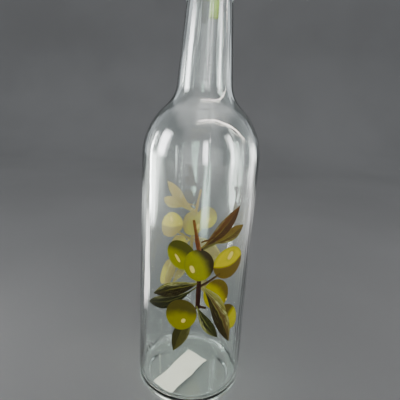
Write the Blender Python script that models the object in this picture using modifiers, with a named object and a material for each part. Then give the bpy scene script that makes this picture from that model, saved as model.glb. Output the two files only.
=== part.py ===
"""Glass oil bottle with a plug-in pourer, two printed olive sprigs and a paper label under its base.

Metres, +Z up. The origin is the middle of the bottle's foot, and the bottle stands on z = 0.
Sprig places are measured along the wall: u runs round it to the right, v runs up from the foot.
"""
import math

import bmesh
import bpy
from mathutils import Matrix, Vector

# Bottle: outside
BODY_RADIUS = 0.0382
HEEL_RADIUS = 0.0050
BODY_TOP = 0.1683
SHOULDER_RADIUS = 0.0426
FILLET_RADIUS = 0.0209
NECK_FOOT_RADIUS = 0.0173
NECK_TAPER = 0.079
NECK_TOP = 0.2620
FINISH_RADIUS = 0.0129
FINISH_TOP = 0.2880
BEAD_RADIUS = 0.0150
BEAD_HEIGHT = 0.0044
BEAD_MIDDLE = 0.2655
LIP_ROUND = 0.0009

# Bottle: inside and base
WALL = 0.0030
BORE_RADIUS = 0.00925
BORE_BOTTOM = 0.2670
BORE_ENTRY_RADIUS = 0.00985
BORE_ENTRY = 0.2640
INNER_HEEL_RADIUS = 0.0060
FLOOR_HEIGHT = 0.0048
FLOOR_RISE = 0.0005
FLOOR_CREST_RADIUS = 0.0120
RING_INNER_RADIUS = 0.0318
RECESS_RADIUS = 0.0312
RECESS_HEIGHT = 0.0015
SEGMENTS = 64

# Screw thread on the finish
THREAD_START = 0.2705
THREAD_PITCH = 0.0042
THREAD_TURNS = 2.25
THREAD_RADIUS = 0.0131
THREAD_BEAD = 0.0010
THREAD_STEPS_PER_TURN = 32
THREAD_FADE_STEPS = 8
THREAD_END_SCALE = 0.35

# Pourer
FIT_GAP = 0.0003
PLUG_RADIUS = 0.0079
PLUG_BOTTOM = 0.2700
PLUG_CHAMFER = 0.0011
FIN_COUNT = 3
FIN_TOP = 0.2858
FIN_PITCH = 0.0048
FIN_RADIUS = 0.0089
FIN_DROPS = (0.0, 0.0006, 0.0012, 0.0024)
FLANGE_RADIUS = 0.0128
FLANGE_THICKNESS = 0.0026
FLANGE_ROUND = 0.0008
FLANGE_CHAMFER = 0.0004
HUB_RADIUS = 0.0088
HUB_HEIGHT = 0.0040
HUB_ROUND = 0.0010
HUB_FILLET = 0.0022
SPOUT_ROOT_X = -0.0032
SPOUT_ROOT_RADIUS = 0.0053
SPOUT_TIP_RADIUS = 0.0037
SPOUT_LENGTH = 0.0400
SPOUT_LEAN = math.radians(13)
SPOUT_BORE_RADIUS = 0.0021
SPOUT_BORE_START = 0.0030
MOUTH_SLANT = math.radians(38)
MOUTH_BLOCK = 0.02
CHANNEL_X = -0.0045
CHANNEL_RADIUS = 0.0022
VENT_X = 0.0030
VENT_RADIUS = 0.00275
VENT_BORE_RADIUS = 0.0019
VENT_BORE_TOP = 0.2760
VENT_OUTLET_RADIUS = 0.0012
VENT_OUTLET_X = 0.0042
VENT_OUTLET_BOTTOM = 0.2750
VENT_BOTTOM = 0.2510
OVERRUN = 0.0040

# Printed sprigs: a skin round the glass, and where its motifs lie in millimetres along the wall
PRINT_THICKNESS = 0.0002
PRINT_BOTTOM = 0.0400
PRINT_TOP = 0.1500
PRISM_MIDDLE = 0.0340
PRISM_HALF_DEPTH = 0.0160
PRISM_DEPTH_STEP = 0.0001
PRINT_TURNS = {"sprig_front": 0.0, "sprig_back": math.radians(180)}
LEAF_STEPS = 9
LEAF_LEAST_HALF_WIDTH = 0.35
OLIVE_STEPS = 20
# base u, v; tip u, v; half width; how far towards the tip it is widest; sideways bend
LEAVES = (
    (3.4, 119.6, 27.8, 145.0, 3.6, 1.36, -1.8),
    (8.0, 121.2, 32.6, 131.6, 3.5, 1.80, -0.4),
    (3.6, 96.9, -27.5, 82.3, 4.5, 1.06, -0.9),
    (3.1, 94.8, -32.2, 74.1, 4.3, 1.72, 2.5),
    (2.7, 79.5, -10.6, 46.0, 4.9, 1.35, -1.0),
    (2.9, 80.9, 18.5, 56.0, 3.5, 1.25, -1.1),
    (5.9, 94.1, 28.5, 49.3, 5.2, 1.36, 1.7),
    (5.9, 94.5, 23.6, 74.9, 2.4, 1.05, 0.6),
)
# centre u, v; half length; half width; tilt in degrees
OLIVES = (
    (-8.2, 114.0, 10.0, 8.4, -52),
    (2.9, 108.5, 10.4, 9.1, -81),
    (22.6, 108.6, 11.2, 10.2, 35),
    (15.3, 88.1, 10.7, 8.6, -80),
    (26.5, 69.1, 11.3, 6.7, -59),
    (-6.6, 73.7, 11.0, 9.8, 66),
)
# start u, v; end u, v; start width; end width
TWIGS = (
    (2.4, 118.0, -1.7, 137.1, 2.6, 1.2),
    (3.4, 119.6, 3.6, 79.0, 2.6, 2.8),
    (4.4, 94.4, 16.5, 102.4, 1.8, 1.2),
    (3.2, 123.4, 11.5, 126.4, 1.2, 1.0),
    (3.2, 118.6, 12.0, 123.0, 1.8, 1.8),
    (3.2, 80.9, 9.0, 79.3, 2.4, 1.4),
)

# Paper label in the recess under the base
LABEL_SIZE = (0.0438, 0.0174, 0.00025)
LABEL_CENTRE = (-0.0051, -0.0051)
LABEL_TURN = math.radians(54.8)

MM = 0.001
MERGE = 0.00001


def clear_scene():
    for item in list(bpy.data.objects):
        bpy.data.objects.remove(item, do_unlink=True)


def make_collection(name):
    collection = bpy.data.collections.new(name)
    bpy.context.scene.collection.children.link(collection)
    return collection


def material(name, colour, roughness, transmission=0.0):
    """A Principled material of one plain colour."""
    result = bpy.data.materials.new(name)
    result.use_nodes = True
    shader = result.node_tree.nodes["Principled BSDF"]
    shader.inputs["Base Color"].default_value = (*colour, 1.0)
    shader.inputs["Roughness"].default_value = roughness
    shader.inputs["Transmission Weight"].default_value = transmission
    result.diffuse_color = (*colour, 1.0)
    return result


def add_object(name, mesh, collection):
    result = bpy.data.objects.new(name, mesh)
    collection.objects.link(result)
    return result


def take_active(name, collection):
    """Name the object that a primitive operator has just made, and move it to a collection."""
    result = bpy.context.object
    result.name = name
    for owner in list(result.users_collection):
        owner.objects.unlink(result)
    collection.objects.link(result)
    return result


def mark_cutter(cutter):
    cutter.hide_render = True
    cutter.display_type = "WIRE"


def boolean(target, operation, operand):
    """Add a Boolean modifier whose operand is an object or a whole collection."""
    modifier = target.modifiers.new(operation.title(), "BOOLEAN")
    modifier.operation = operation
    modifier.solver = "EXACT"
    if isinstance(operand, bpy.types.Collection):
        modifier.operand_type = "COLLECTION"
        modifier.collection = operand
    else:
        modifier.object = operand


def smooth(target, angle=math.radians(35)):
    target.data.shade_smooth()
    target.data.set_sharp_from_angle(angle=angle)


def arc(centre, radius, start, end, steps):
    """Points round a centre in the (r, z) plane, from one angle to another in radians."""
    points = []
    for step in range(steps + 1):
        angle = start + (end - start) * step / steps
        points.append((centre[0] + radius * math.cos(angle), centre[1] + radius * math.sin(angle)))
    return points


def turned(name, profile, collection, segments=SEGMENTS):
    """Turn an (r, z) profile about Z; it runs down the outer side, from top to bottom."""
    mesh = bpy.data.meshes.new(name)
    vertices = [(r, 0.0, z) for r, z in profile]
    edges = [(index, index + 1) for index in range(len(vertices) - 1)]
    mesh.from_pydata(vertices, edges, [])
    result = add_object(name, mesh, collection)
    screw = result.modifiers.new("Turn", "SCREW")
    screw.axis = "Z"
    screw.steps = segments
    screw.render_steps = segments
    screw.use_merge_vertices = True
    screw.merge_threshold = MERGE
    screw.use_smooth_shade = True
    return result


def curve_as_mesh(curve_object, collection):
    """Swap a curve object for its welded mesh."""
    depsgraph = bpy.context.evaluated_depsgraph_get()
    mesh = bpy.data.meshes.new_from_object(curve_object.evaluated_get(depsgraph))
    shape = bmesh.new()
    shape.from_mesh(mesh)
    bmesh.ops.remove_doubles(shape, verts=shape.verts, dist=MERGE)
    shape.to_mesh(mesh)
    shape.free()
    result = add_object(curve_object.name + "_mesh", mesh, collection)
    result.matrix_world = curve_object.matrix_world.copy()
    bpy.data.objects.remove(curve_object, do_unlink=True)
    return result


def fillet_rise():
    """How far the fillet's centre stands above the body's top, so that it touches the shoulder's arc."""
    across = NECK_FOOT_RADIUS + FILLET_RADIUS + SHOULDER_RADIUS - BODY_RADIUS
    return math.sqrt((SHOULDER_RADIUS + FILLET_RADIUS) ** 2 - across ** 2)


def shoulder_profile(offset, shoulder_steps, fillet_steps):
    """The neck's foot, fillet and shoulder from top to bottom, at an offset inside the outer surface.

    Two arcs touch each other: the fillet bends outwards from the neck, the shoulder down to the body.
    """
    fillet_r = NECK_FOOT_RADIUS + FILLET_RADIUS
    shoulder_r = BODY_RADIUS - SHOULDER_RADIUS
    rise = fillet_rise()
    meeting = math.atan2(rise, fillet_r - shoulder_r)
    fillet = arc((fillet_r, BODY_TOP + rise), FILLET_RADIUS + offset,
                 math.pi + math.atan(NECK_TAPER), math.pi + meeting, fillet_steps)
    shoulder = arc((shoulder_r, BODY_TOP), SHOULDER_RADIUS - offset, meeting, 0.0, shoulder_steps)
    return fillet + shoulder[1:]


def neck_radius(height):
    """Outer radius of the tapering neck."""
    return NECK_FOOT_RADIUS - NECK_TAPER * (height - BODY_TOP - fillet_rise())


def bottle_profile():
    """Closed section of the glass, from the inner floor up the inside and down the outside."""
    inner_heel_r = BODY_RADIUS - WALL - INNER_HEEL_RADIUS
    inside = [(0.0, FLOOR_HEIGHT + FLOOR_RISE), (FLOOR_CREST_RADIUS, FLOOR_HEIGHT + FLOOR_RISE)]
    inside += arc((inner_heel_r, FLOOR_HEIGHT + INNER_HEEL_RADIUS), INNER_HEEL_RADIUS, -math.pi / 2, 0.0, 5)
    inside += reversed(shoulder_profile(WALL, 7, 5))
    inside += [(BORE_ENTRY_RADIUS, BORE_ENTRY), (BORE_RADIUS, BORE_BOTTOM)]
    inside += [(BORE_RADIUS, FINISH_TOP - LIP_ROUND)]
    lip = [(BORE_RADIUS + LIP_ROUND, FINISH_TOP), (FINISH_RADIUS - LIP_ROUND, FINISH_TOP)]
    bead = [(FINISH_RADIUS, FINISH_TOP - LIP_ROUND), (FINISH_RADIUS, BEAD_MIDDLE + BEAD_HEIGHT / 2)]
    bead += arc((BEAD_RADIUS - BEAD_HEIGHT / 2, BEAD_MIDDLE), BEAD_HEIGHT / 2,
                math.radians(60), math.radians(-60), 4)
    bead += [(neck_radius(NECK_TOP), NECK_TOP)]
    outside = shoulder_profile(0.0, 10, 6)
    outside += arc((BODY_RADIUS - HEEL_RADIUS, HEEL_RADIUS), HEEL_RADIUS, 0.0, -math.pi / 2, 5)
    base = [(RING_INNER_RADIUS, 0.0), (RECESS_RADIUS, RECESS_HEIGHT), (0.0, RECESS_HEIGHT)]
    return inside + lip + bead + outside + base


def make_thread(cutters):
    """A helix of glass round the finish, which fades in and out at its ends."""
    curve = bpy.data.curves.new("thread", "CURVE")
    curve.dimensions = "3D"
    curve.bevel_depth = THREAD_BEAD
    curve.bevel_resolution = 1
    curve.use_fill_caps = True
    count = int(THREAD_TURNS * THREAD_STEPS_PER_TURN)
    spline = curve.splines.new("POLY")
    spline.points.add(count)
    for index in range(count + 1):
        angle = 2 * math.pi * index / THREAD_STEPS_PER_TURN
        height = THREAD_START + THREAD_PITCH * index / THREAD_STEPS_PER_TURN
        fade = min(1.0, min(index, count - index) / THREAD_FADE_STEPS)
        radius = THREAD_RADIUS - 0.5 * THREAD_BEAD * (1 - fade)
        point = spline.points[index]
        point.co = (radius * math.cos(angle), radius * math.sin(angle), height, 1.0)
        point.radius = THREAD_END_SCALE + (1 - THREAD_END_SCALE) * fade
    thread = curve_as_mesh(add_object("thread", curve, cutters), cutters)
    mark_cutter(thread)
    return thread


def make_bottle(parts, cutters):
    bottle = turned("glass_bottle", bottle_profile(), parts)
    boolean(bottle, "UNION", make_thread(cutters))
    bottle.data.materials.append(material("clear_glass", (0.86, 0.93, 0.90), 0.03, transmission=1.0))
    return bottle


def pourer_profile():
    """Outline of the plug, its fins, the flange on the rim and the hub that carries the spout."""
    flange_bottom = FINISH_TOP + FIT_GAP
    flange_top = flange_bottom + FLANGE_THICKNESS
    hub_top = flange_top + HUB_HEIGHT
    profile = [(0.0, hub_top), (HUB_RADIUS - HUB_ROUND, hub_top), (HUB_RADIUS, hub_top - HUB_ROUND)]
    profile += arc((HUB_RADIUS + HUB_FILLET, flange_top + HUB_FILLET), HUB_FILLET, math.pi, 1.5 * math.pi, 4)
    profile += [(FLANGE_RADIUS - FLANGE_ROUND, flange_top), (FLANGE_RADIUS, flange_top - FLANGE_ROUND)]
    profile += [(FLANGE_RADIUS, flange_bottom + FLANGE_CHAMFER)]
    profile += [(FLANGE_RADIUS - FLANGE_CHAMFER, flange_bottom), (PLUG_RADIUS, flange_bottom)]
    for index in range(FIN_COUNT):
        heights = [FIN_TOP - index * FIN_PITCH - drop for drop in FIN_DROPS]
        profile += zip((PLUG_RADIUS, FIN_RADIUS, FIN_RADIUS, PLUG_RADIUS), heights)
    profile += [(PLUG_RADIUS, PLUG_BOTTOM + PLUG_CHAMFER), (PLUG_RADIUS - PLUG_CHAMFER, PLUG_BOTTOM)]
    return profile + [(0.0, PLUG_BOTTOM)]


def rod(name, radius, start, end, collection, end_radius=None, sides=16):
    """A cylinder or cone frustum from one point to another."""
    along = Vector(end) - Vector(start)
    bpy.ops.mesh.primitive_cone_add(vertices=sides, radius1=radius, radius2=end_radius or radius,
                                    depth=along.length, location=(0, 0, 0))
    result = take_active(name, collection)
    turn = Vector((0, 0, 1)).rotation_difference(along)
    place = Matrix.Translation((Vector(start) + Vector(end)) / 2) @ turn.to_matrix().to_4x4()
    result.data.transform(place)
    mark_cutter(result)
    return result


def upright_rod(name, radius, x, bottom, top, collection, sides=16):
    return rod(name, radius, (x, 0.0, bottom), (x, 0.0, top), collection, sides=sides)


def make_mouth_cutter(tip, lean, cutters):
    """A block whose lower face slants the spout's mouth."""
    bpy.ops.mesh.primitive_cube_add(size=MOUTH_BLOCK)
    block = take_active("mouth_slant", cutters)
    middle = tip - lean * SPOUT_TIP_RADIUS * math.tan(MOUTH_SLANT)
    facing = Matrix.Rotation(-SPOUT_LEAN - MOUTH_SLANT, 4, "Y")
    block.data.transform(Matrix.Translation(middle) @ facing @ Matrix.Translation((0, 0, MOUTH_BLOCK / 2)))
    mark_cutter(block)
    return block


def make_pourer(parts, cutters):
    """One moulded plug: fins, flange, leaning spout with a slanted mouth, and an open vent tube."""
    pourer = turned("pourer", pourer_profile(), parts, segments=32)
    flange_top = FINISH_TOP + FIT_GAP + FLANGE_THICKNESS
    root = Vector((SPOUT_ROOT_X, 0.0, flange_top))
    lean = Vector((-math.sin(SPOUT_LEAN), 0.0, math.cos(SPOUT_LEAN)))
    tip = root + lean * SPOUT_LENGTH
    boolean(pourer, "UNION", rod("spout", SPOUT_ROOT_RADIUS, root, tip, cutters, SPOUT_TIP_RADIUS, 20))
    boolean(pourer, "UNION", upright_rod("vent_tube", VENT_RADIUS, VENT_X, VENT_BOTTOM,
                                         PLUG_BOTTOM + OVERRUN, cutters))
    boolean(pourer, "DIFFERENCE", rod("spout_bore", SPOUT_BORE_RADIUS, root - lean * SPOUT_BORE_START,
                                      tip + lean * OVERRUN, cutters))
    boolean(pourer, "DIFFERENCE", upright_rod("channel", CHANNEL_RADIUS, CHANNEL_X, PLUG_BOTTOM - OVERRUN,
                                              flange_top, cutters))
    boolean(pourer, "DIFFERENCE", upright_rod("vent_bore", VENT_BORE_RADIUS, VENT_X, VENT_BOTTOM - OVERRUN,
                                              VENT_BORE_TOP, cutters))
    boolean(pourer, "DIFFERENCE", rod("vent_outlet", VENT_OUTLET_RADIUS, (VENT_X, 0.0, VENT_OUTLET_BOTTOM),
                                      (VENT_OUTLET_X, 0.0, flange_top + HUB_HEIGHT + OVERRUN), cutters,
                                      sides=12))
    boolean(pourer, "DIFFERENCE", make_mouth_cutter(tip, lean, cutters))
    pourer.data.materials.append(material("lime_plastic", (0.52, 0.66, 0.06), 0.30))
    return pourer


def leaf_outline(leaf):
    """A pointed oval along a bent midrib, as wall points in millimetres.

    The midrib leaves the straight line from base to tip by a sine wave, and the blade's half width
    is a sine of the way along, raised to a power that moves the widest place towards the tip.
    """
    base = Vector(leaf[0:2])
    tip = Vector(leaf[2:4])
    half_width, fullness, bend = leaf[4:7]
    along = tip - base
    across = Vector((-along.y, along.x)).normalized()
    sides = {1: [], -1: []}
    for side, points in sides.items():
        for step in range(1, LEAF_STEPS):
            t = step / LEAF_STEPS
            width = max(half_width * math.sin(math.pi * t ** fullness), LEAF_LEAST_HALF_WIDTH)
            points.append(base + along * t + across * (bend * math.sin(math.pi * t) + side * width))
    return [base] + sides[-1] + [tip] + sides[1][::-1]


def olive_outline(olive):
    u, v, half_length, half_width, tilt = olive
    turn = Matrix.Rotation(math.radians(tilt), 2)
    points = []
    for step in range(OLIVE_STEPS):
        angle = 2 * math.pi * step / OLIVE_STEPS
        offset = Vector((half_length * math.cos(angle), half_width * math.sin(angle)))
        points.append(Vector((u, v)) + turn @ offset)
    return points


def twig_outline(twig):
    start = Vector(twig[0:2])
    end = Vector(twig[2:4])
    across = Vector((start.y - end.y, end.x - start.x)).normalized()
    return [start - across * twig[4] / 2, end - across * twig[5] / 2,
            end + across * twig[5] / 2, start + across * twig[4] / 2]


def outline_prism(name, outline, turn, order, cutters):
    """A prism through the bottle's wall whose faces stand over an outline on the wall.

    A wall place (u, v) lies at the angle u / radius round the wall and at the height v.
    """
    curve = bpy.data.curves.new(name, "CURVE")
    curve.dimensions = "2D"
    curve.fill_mode = "BOTH"
    curve.extrude = PRISM_HALF_DEPTH + PRISM_DEPTH_STEP * order
    spline = curve.splines.new("POLY")
    spline.points.add(len(outline) - 1)
    spline.use_cyclic_u = True
    for point, place in zip(spline.points, outline):
        point.co = (BODY_RADIUS * math.sin(place[0] * MM / BODY_RADIUS), place[1] * MM, 0.0, 1.0)
    prism = add_object(name, curve, cutters)
    stand = Matrix.Translation((0.0, -PRISM_MIDDLE, 0.0)) @ Matrix.Rotation(math.pi / 2, 4, "X")
    prism.matrix_world = Matrix.Rotation(turn, 4, "Z") @ stand
    bpy.context.view_layer.update()
    mesh_prism = curve_as_mesh(prism, cutters)
    mark_cutter(mesh_prism)
    return mesh_prism


def make_sprig(name, turn, parts, cutters):
    """A thin skin of colour on the glass: one print of leaves, olives and twigs that join."""
    outlines = [twig_outline(twig) for twig in TWIGS]
    outlines += [leaf_outline(leaf) for leaf in LEAVES]
    outlines += [olive_outline(olive) for olive in OLIVES]
    motifs = make_collection(name + "_motifs")
    stem = outline_prism(name + "_stem", outlines[0], turn, 0, cutters)
    for order, outline in enumerate(outlines[1:], start=1):
        outline_prism(name + "_motif", outline, turn, order, motifs)
    boolean(stem, "UNION", motifs)
    inner = BODY_RADIUS + FIT_GAP
    outer = inner + PRINT_THICKNESS
    band = [(inner, PRINT_BOTTOM), (inner, PRINT_TOP), (outer, PRINT_TOP), (outer, PRINT_BOTTOM)]
    sprig = turned(name, band + band[:1], parts)
    boolean(sprig, "INTERSECT", stem)
    sprig.data.materials.append(material(name + "_ink", (0.26, 0.27, 0.03), 0.45))


def make_label(parts):
    """A paper sticker inside the recess, just under the glass."""
    bpy.ops.mesh.primitive_cube_add(size=1.0)
    label = take_active("base_label", parts)
    length, width, thickness = LABEL_SIZE
    height = RECESS_HEIGHT - FIT_GAP - thickness / 2
    place = Matrix.Translation((*LABEL_CENTRE, height)) @ Matrix.Rotation(LABEL_TURN, 4, "Z")
    label.data.transform(place @ Matrix.Diagonal((length, width, thickness, 1.0)))
    label.data.materials.append(material("white_paper", (0.82, 0.80, 0.74), 0.85))


def main():
    clear_scene()
    parts = make_collection("oil_bottle")
    cutters = make_collection("cutters")
    bottle = make_bottle(parts, cutters)
    pourer = make_pourer(parts, cutters)
    for name, turn in PRINT_TURNS.items():
        make_sprig(name, turn, parts, cutters)
    make_label(parts)
    smooth(bottle)
    smooth(pourer)


main()
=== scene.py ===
"""Looks of an empty clear glass oil bottle with a lime pourer, printed olive sprigs and a paper label.

Metres, +Z up. The bottle's axis is Z, it stands on z = 0, and the front sprig faces -Y.
"""
import math

import bmesh
import bpy
import numpy as np
from mathutils import Matrix, Vector


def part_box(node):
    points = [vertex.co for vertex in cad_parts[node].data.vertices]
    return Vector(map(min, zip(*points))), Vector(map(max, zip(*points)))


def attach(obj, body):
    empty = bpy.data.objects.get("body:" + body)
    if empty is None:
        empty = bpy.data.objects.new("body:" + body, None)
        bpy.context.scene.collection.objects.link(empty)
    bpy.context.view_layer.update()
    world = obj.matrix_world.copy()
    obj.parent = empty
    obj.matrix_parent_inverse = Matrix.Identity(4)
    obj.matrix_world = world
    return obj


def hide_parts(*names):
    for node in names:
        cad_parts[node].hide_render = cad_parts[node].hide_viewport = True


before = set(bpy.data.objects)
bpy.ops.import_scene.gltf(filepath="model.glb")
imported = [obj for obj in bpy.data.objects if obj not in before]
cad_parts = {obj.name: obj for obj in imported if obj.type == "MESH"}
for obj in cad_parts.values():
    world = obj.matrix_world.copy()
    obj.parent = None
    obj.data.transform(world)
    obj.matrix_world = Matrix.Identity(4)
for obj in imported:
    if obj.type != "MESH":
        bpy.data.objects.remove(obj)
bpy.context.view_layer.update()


# --------------------------------------------
# The bottle. A round 750 ml bottle of clear soda-lime glass, faintly green where it is thick.
# It is blown in a mould of two halves: the outside is true and has two fine seams, the inside
# wavers a little, and the finish carries a transfer bead and a screw thread.
BODY_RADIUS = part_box("glass_bottle")[1].x
FINISH_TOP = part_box("glass_bottle")[1].z
HEEL_RADIUS = 0.0050
BODY_TOP = 0.1683
SHOULDER_RADIUS = 0.0426
FILLET_RADIUS = 0.0209
NECK_FOOT_RADIUS = 0.0173
NECK_TAPER = 0.079
NECK_TOP = 0.2620
FINISH_RADIUS = 0.0129
BEAD_RADIUS = 0.0150
BEAD_HEIGHT = 0.0044
BEAD_MIDDLE = 0.2655
LIP_ROUND = 0.0009
WALL = 0.0030
BORE_RADIUS = 0.00925
BORE_BOTTOM = 0.2670
BORE_ENTRY_RADIUS = 0.00985
BORE_ENTRY = 0.2640
INNER_HEEL_RADIUS = 0.0060
FLOOR_HEIGHT = 0.0048
FLOOR_RISE = 0.0005
FLOOR_CROWN_RADIUS = 0.0120
FLOOR_CROWN_SHARE = 0.9
RING_INNER_RADIUS = 0.0324
RECESS_RADIUS = 0.0280
RECESS_BLEND = 0.0140
RECESS_BACK_SINE = 0.9
RECESS_HEIGHT = 0.0015
RECESS_ROWS = 22
THREAD_START = 0.2705
THREAD_PITCH = 0.0042
THREAD_TURNS = 2.25
THREAD_HEIGHT = 0.0011
THREAD_HALF_WIDTH = 0.0012
THREAD_FADE_TURNS = 0.2
THREAD_STEP = 0.00028
LIP_CLEARANCE = 0.0001
BEAD_CLEARANCE = 0.0004
BEAD_ARC = (80, -66)
SEAM_ANGLES = np.radians((97.0, 277.0))
SEAM_HEIGHT = 0.00018
SEAM_HALF_WIDTH = 0.00060
SEAM_FADE = 0.1500
SEAM_REACH = 1.2
SEAM_COLUMNS = 9
SEAM_CLEARANCE = 0.6
BOTTLE_COLUMNS = 176
INNER_STEP = 0.004
OUTER_STEP = 0.006
WAVE_HEIGHT = 0.00016
WAVE_FULL = 0.0300
WAVE_FADE = 0.2350
BEATS_COME_IN = (0.0850, 0.1500)
# each wave: its share of the height, then its turns round the bottle, drift in radians a metre and phase
WALL_WAVES = ((0.50, (2, 9, 0.4)), (0.30, (5, -31, 1.9)), (0.22, (9, 23, 4.1)), (0.14, (17, -47, 2.7)))
# each beat: its share of the height, then a fine and a slow wave
WALL_BEATS = ((0.15, (26, 110, 1.1), (3, -38, 0.0)), (0.08, (37, -170, 0.6), (5, 61, 2.0)))
GLASS_TINT = (0.955, 0.985, 0.970, 1.0)
GLASS_THICK_TINT = (0.45, 0.80, 0.62, 1.0)
GLASS_DENSITY = 9.0
SHADOW_TINT = (0.97, 0.985, 0.98, 1.0)
MARK_ROUGHNESS = 0.045
STREAK_SCALE = (55, 55, 7)
STREAK_HEIGHT = 0.00050
RIPPLE_SCALE = (340, 340, 16)
RIPPLE_HEIGHT = 0.00030
RIPPLE_SIDES = (0.0190, 0.0300)
RIPPLE_MIDDLE_SHARE = 0.08
RIPPLE_RISE = (0.0120, 0.0600)


def arc(centre, radius, start, end, count):
    """Points at equal angles round a centre in the (r, z) plane; the angles are in degrees."""
    angle = np.radians(np.linspace(start, end, count))
    return np.column_stack((centre[0] + radius * np.cos(angle), centre[1] + radius * np.sin(angle)))


def smooth_step(low, high, value):
    """0 below low, 1 above high, and the cubic 3t^2 - 2t^3 between them."""
    t = np.clip((value - low) / (high - low), 0.0, 1.0)
    return t * t * (3 - 2 * t)


def shoulder_curve(offset, count):
    """The neck's foot, fillet and shoulder from top to bottom, at an offset inside the outer surface.

    Two arcs touch each other: the fillet bends outwards from the neck, the shoulder down to the body.
    """
    fillet_r = NECK_FOOT_RADIUS + FILLET_RADIUS
    shoulder_r = BODY_RADIUS - SHOULDER_RADIUS
    rise = math.sqrt((SHOULDER_RADIUS + FILLET_RADIUS) ** 2 - (fillet_r - shoulder_r) ** 2)
    meeting = math.degrees(math.atan2(rise, fillet_r - shoulder_r))
    neck_side = 180 + math.degrees(math.atan(NECK_TAPER))
    fillet = arc((fillet_r, BODY_TOP + rise), FILLET_RADIUS + offset, neck_side, 180 + meeting, count)
    shoulder = arc((shoulder_r, BODY_TOP), SHOULDER_RADIUS - offset, meeting, 0, count)
    return np.vstack((fillet, shoulder[1:]))


def fine_rows(profile, step):
    """A profile with points added along each straight run, so that none is longer than a step."""
    lengths = np.hypot(*np.diff(profile, axis=0).T)
    runs = [np.linspace(start, end, max(1, math.ceil(length / step)), endpoint=False)
            for start, end, length in zip(profile[:-1], profile[1:], lengths)]
    return np.vstack(runs + [profile[-1:]])


def push_up(radius, angle):
    """Height of the shallow hollow under the base: flat in the middle, a soft step down to the ring.

    The step is narrow at the front and the sides, and blends in more slowly at the back.
    """
    inner = RECESS_RADIUS - RECESS_BLEND * smooth_step(0.0, RECESS_BACK_SINE, np.sin(angle))
    return RECESS_HEIGHT * (1 - smooth_step(inner, RING_INNER_RADIUS, radius))


def round_wave(angle, height, turns, drift, phase):
    """A sine wave round Z, whose phase drifts with the height."""
    return np.sin(turns * angle + drift * height + phase)


def wall_wave(angle, height):
    """How far the inner wall wavers, in metres.

    It is a sum of sine waves round the bottle, whose phases drift with the height. The finest two are
    beats, each a fine wave times a slow one, that come in above the middle. All die away towards the
    floor and towards the finish.
    """
    upper = smooth_step(*BEATS_COME_IN, height)
    waves = sum(share * round_wave(angle, height, *wave) for share, wave in WALL_WAVES)
    for share, fine, slow in WALL_BEATS:
        waves = waves + share * upper * round_wave(angle, height, *fine) * round_wave(angle, height, *slow)
    inside = smooth_step(FLOOR_HEIGHT, WAVE_FULL, height) * (1 - smooth_step(WAVE_FADE, BORE_ENTRY, height))
    return WAVE_HEIGHT * inside * waves


def thread_relief(angle, height):
    """How far the screw thread stands out, in metres.

    It is a raised cosine of the distance along Z to the nearest turn of the helix, and it fades out
    at both ends of the helix.
    """
    part_turn = angle / (2 * math.pi)
    whole_turns = np.rint((height - THREAD_START) / THREAD_PITCH - part_turn)
    along = np.maximum(whole_turns, 0) + part_turn
    distance = np.abs(height - THREAD_START - THREAD_PITCH * along)
    fade = smooth_step(0, THREAD_FADE_TURNS, np.minimum(along, THREAD_TURNS - along))
    return THREAD_HEIGHT * fade * 0.5 * (1 + np.cos(math.pi * np.minimum(distance / THREAD_HALF_WIDTH, 1)))


def seam_relief(angle, radius):
    """How far the mould seams stand out: a raised cosine of the distance round the wall to a seam."""
    turns = [(angle - seam + math.pi) % (2 * math.pi) - math.pi for seam in SEAM_ANGLES]
    distance = np.minimum(np.min(np.abs(turns), axis=0) * radius / SEAM_HALF_WIDTH, 1)
    return SEAM_HEIGHT * 0.5 * (1 + np.cos(math.pi * distance))


def round_about(count, seams=()):
    """Equal angles round Z, with a few more close to each seam."""
    even = np.linspace(0, 2 * math.pi, count, endpoint=False)
    reach = np.linspace(-SEAM_REACH, SEAM_REACH, SEAM_COLUMNS) * SEAM_HALF_WIDTH / BODY_RADIUS
    clear = [np.abs(even - seam) > SEAM_CLEARANCE * (even[1] - even[0]) for seam in seams]
    kept = even[np.logical_and.reduce(clear)] if clear else even
    return np.sort(np.concatenate([kept] + [seam + reach for seam in seams]))


def grid(*axes):
    """Points whose coordinates come from arrays that spread over the same rows and columns."""
    return np.stack(np.broadcast_arrays(*axes), axis=-1)


def turned(radius, height, angle):
    """Points round Z: x is r cos a, y is r sin a. Rows follow the profile and columns the angle."""
    return grid(radius * np.cos(angle), radius * np.sin(angle), height)


def grid_faces(rows, columns, closed):
    """Quads between neighbouring rows and columns; closed joins the last column to the first."""
    index = np.arange(rows * columns).reshape(rows, columns)
    if closed:
        index = np.column_stack((index, index[:, :1]))
    corners = (index[:-1, :-1], index[1:, :-1], index[1:, 1:], index[:-1, 1:])
    return np.stack(corners, axis=-1).reshape(-1, 4)


def new_object(name, data):
    """An object in the scene that shows a mesh, a light or a camera."""
    thing = bpy.data.objects.new(name, data)
    bpy.context.scene.collection.objects.link(thing)
    return thing


ATTRIBUTE_KINDS = {1: ("FLOAT", "value"), 3: ("FLOAT_VECTOR", "vector"), 4: ("FLOAT_COLOR", "color")}
WELD_DISTANCE = 1e-7
SLIVER_LENGTH = 1e-8


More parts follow.
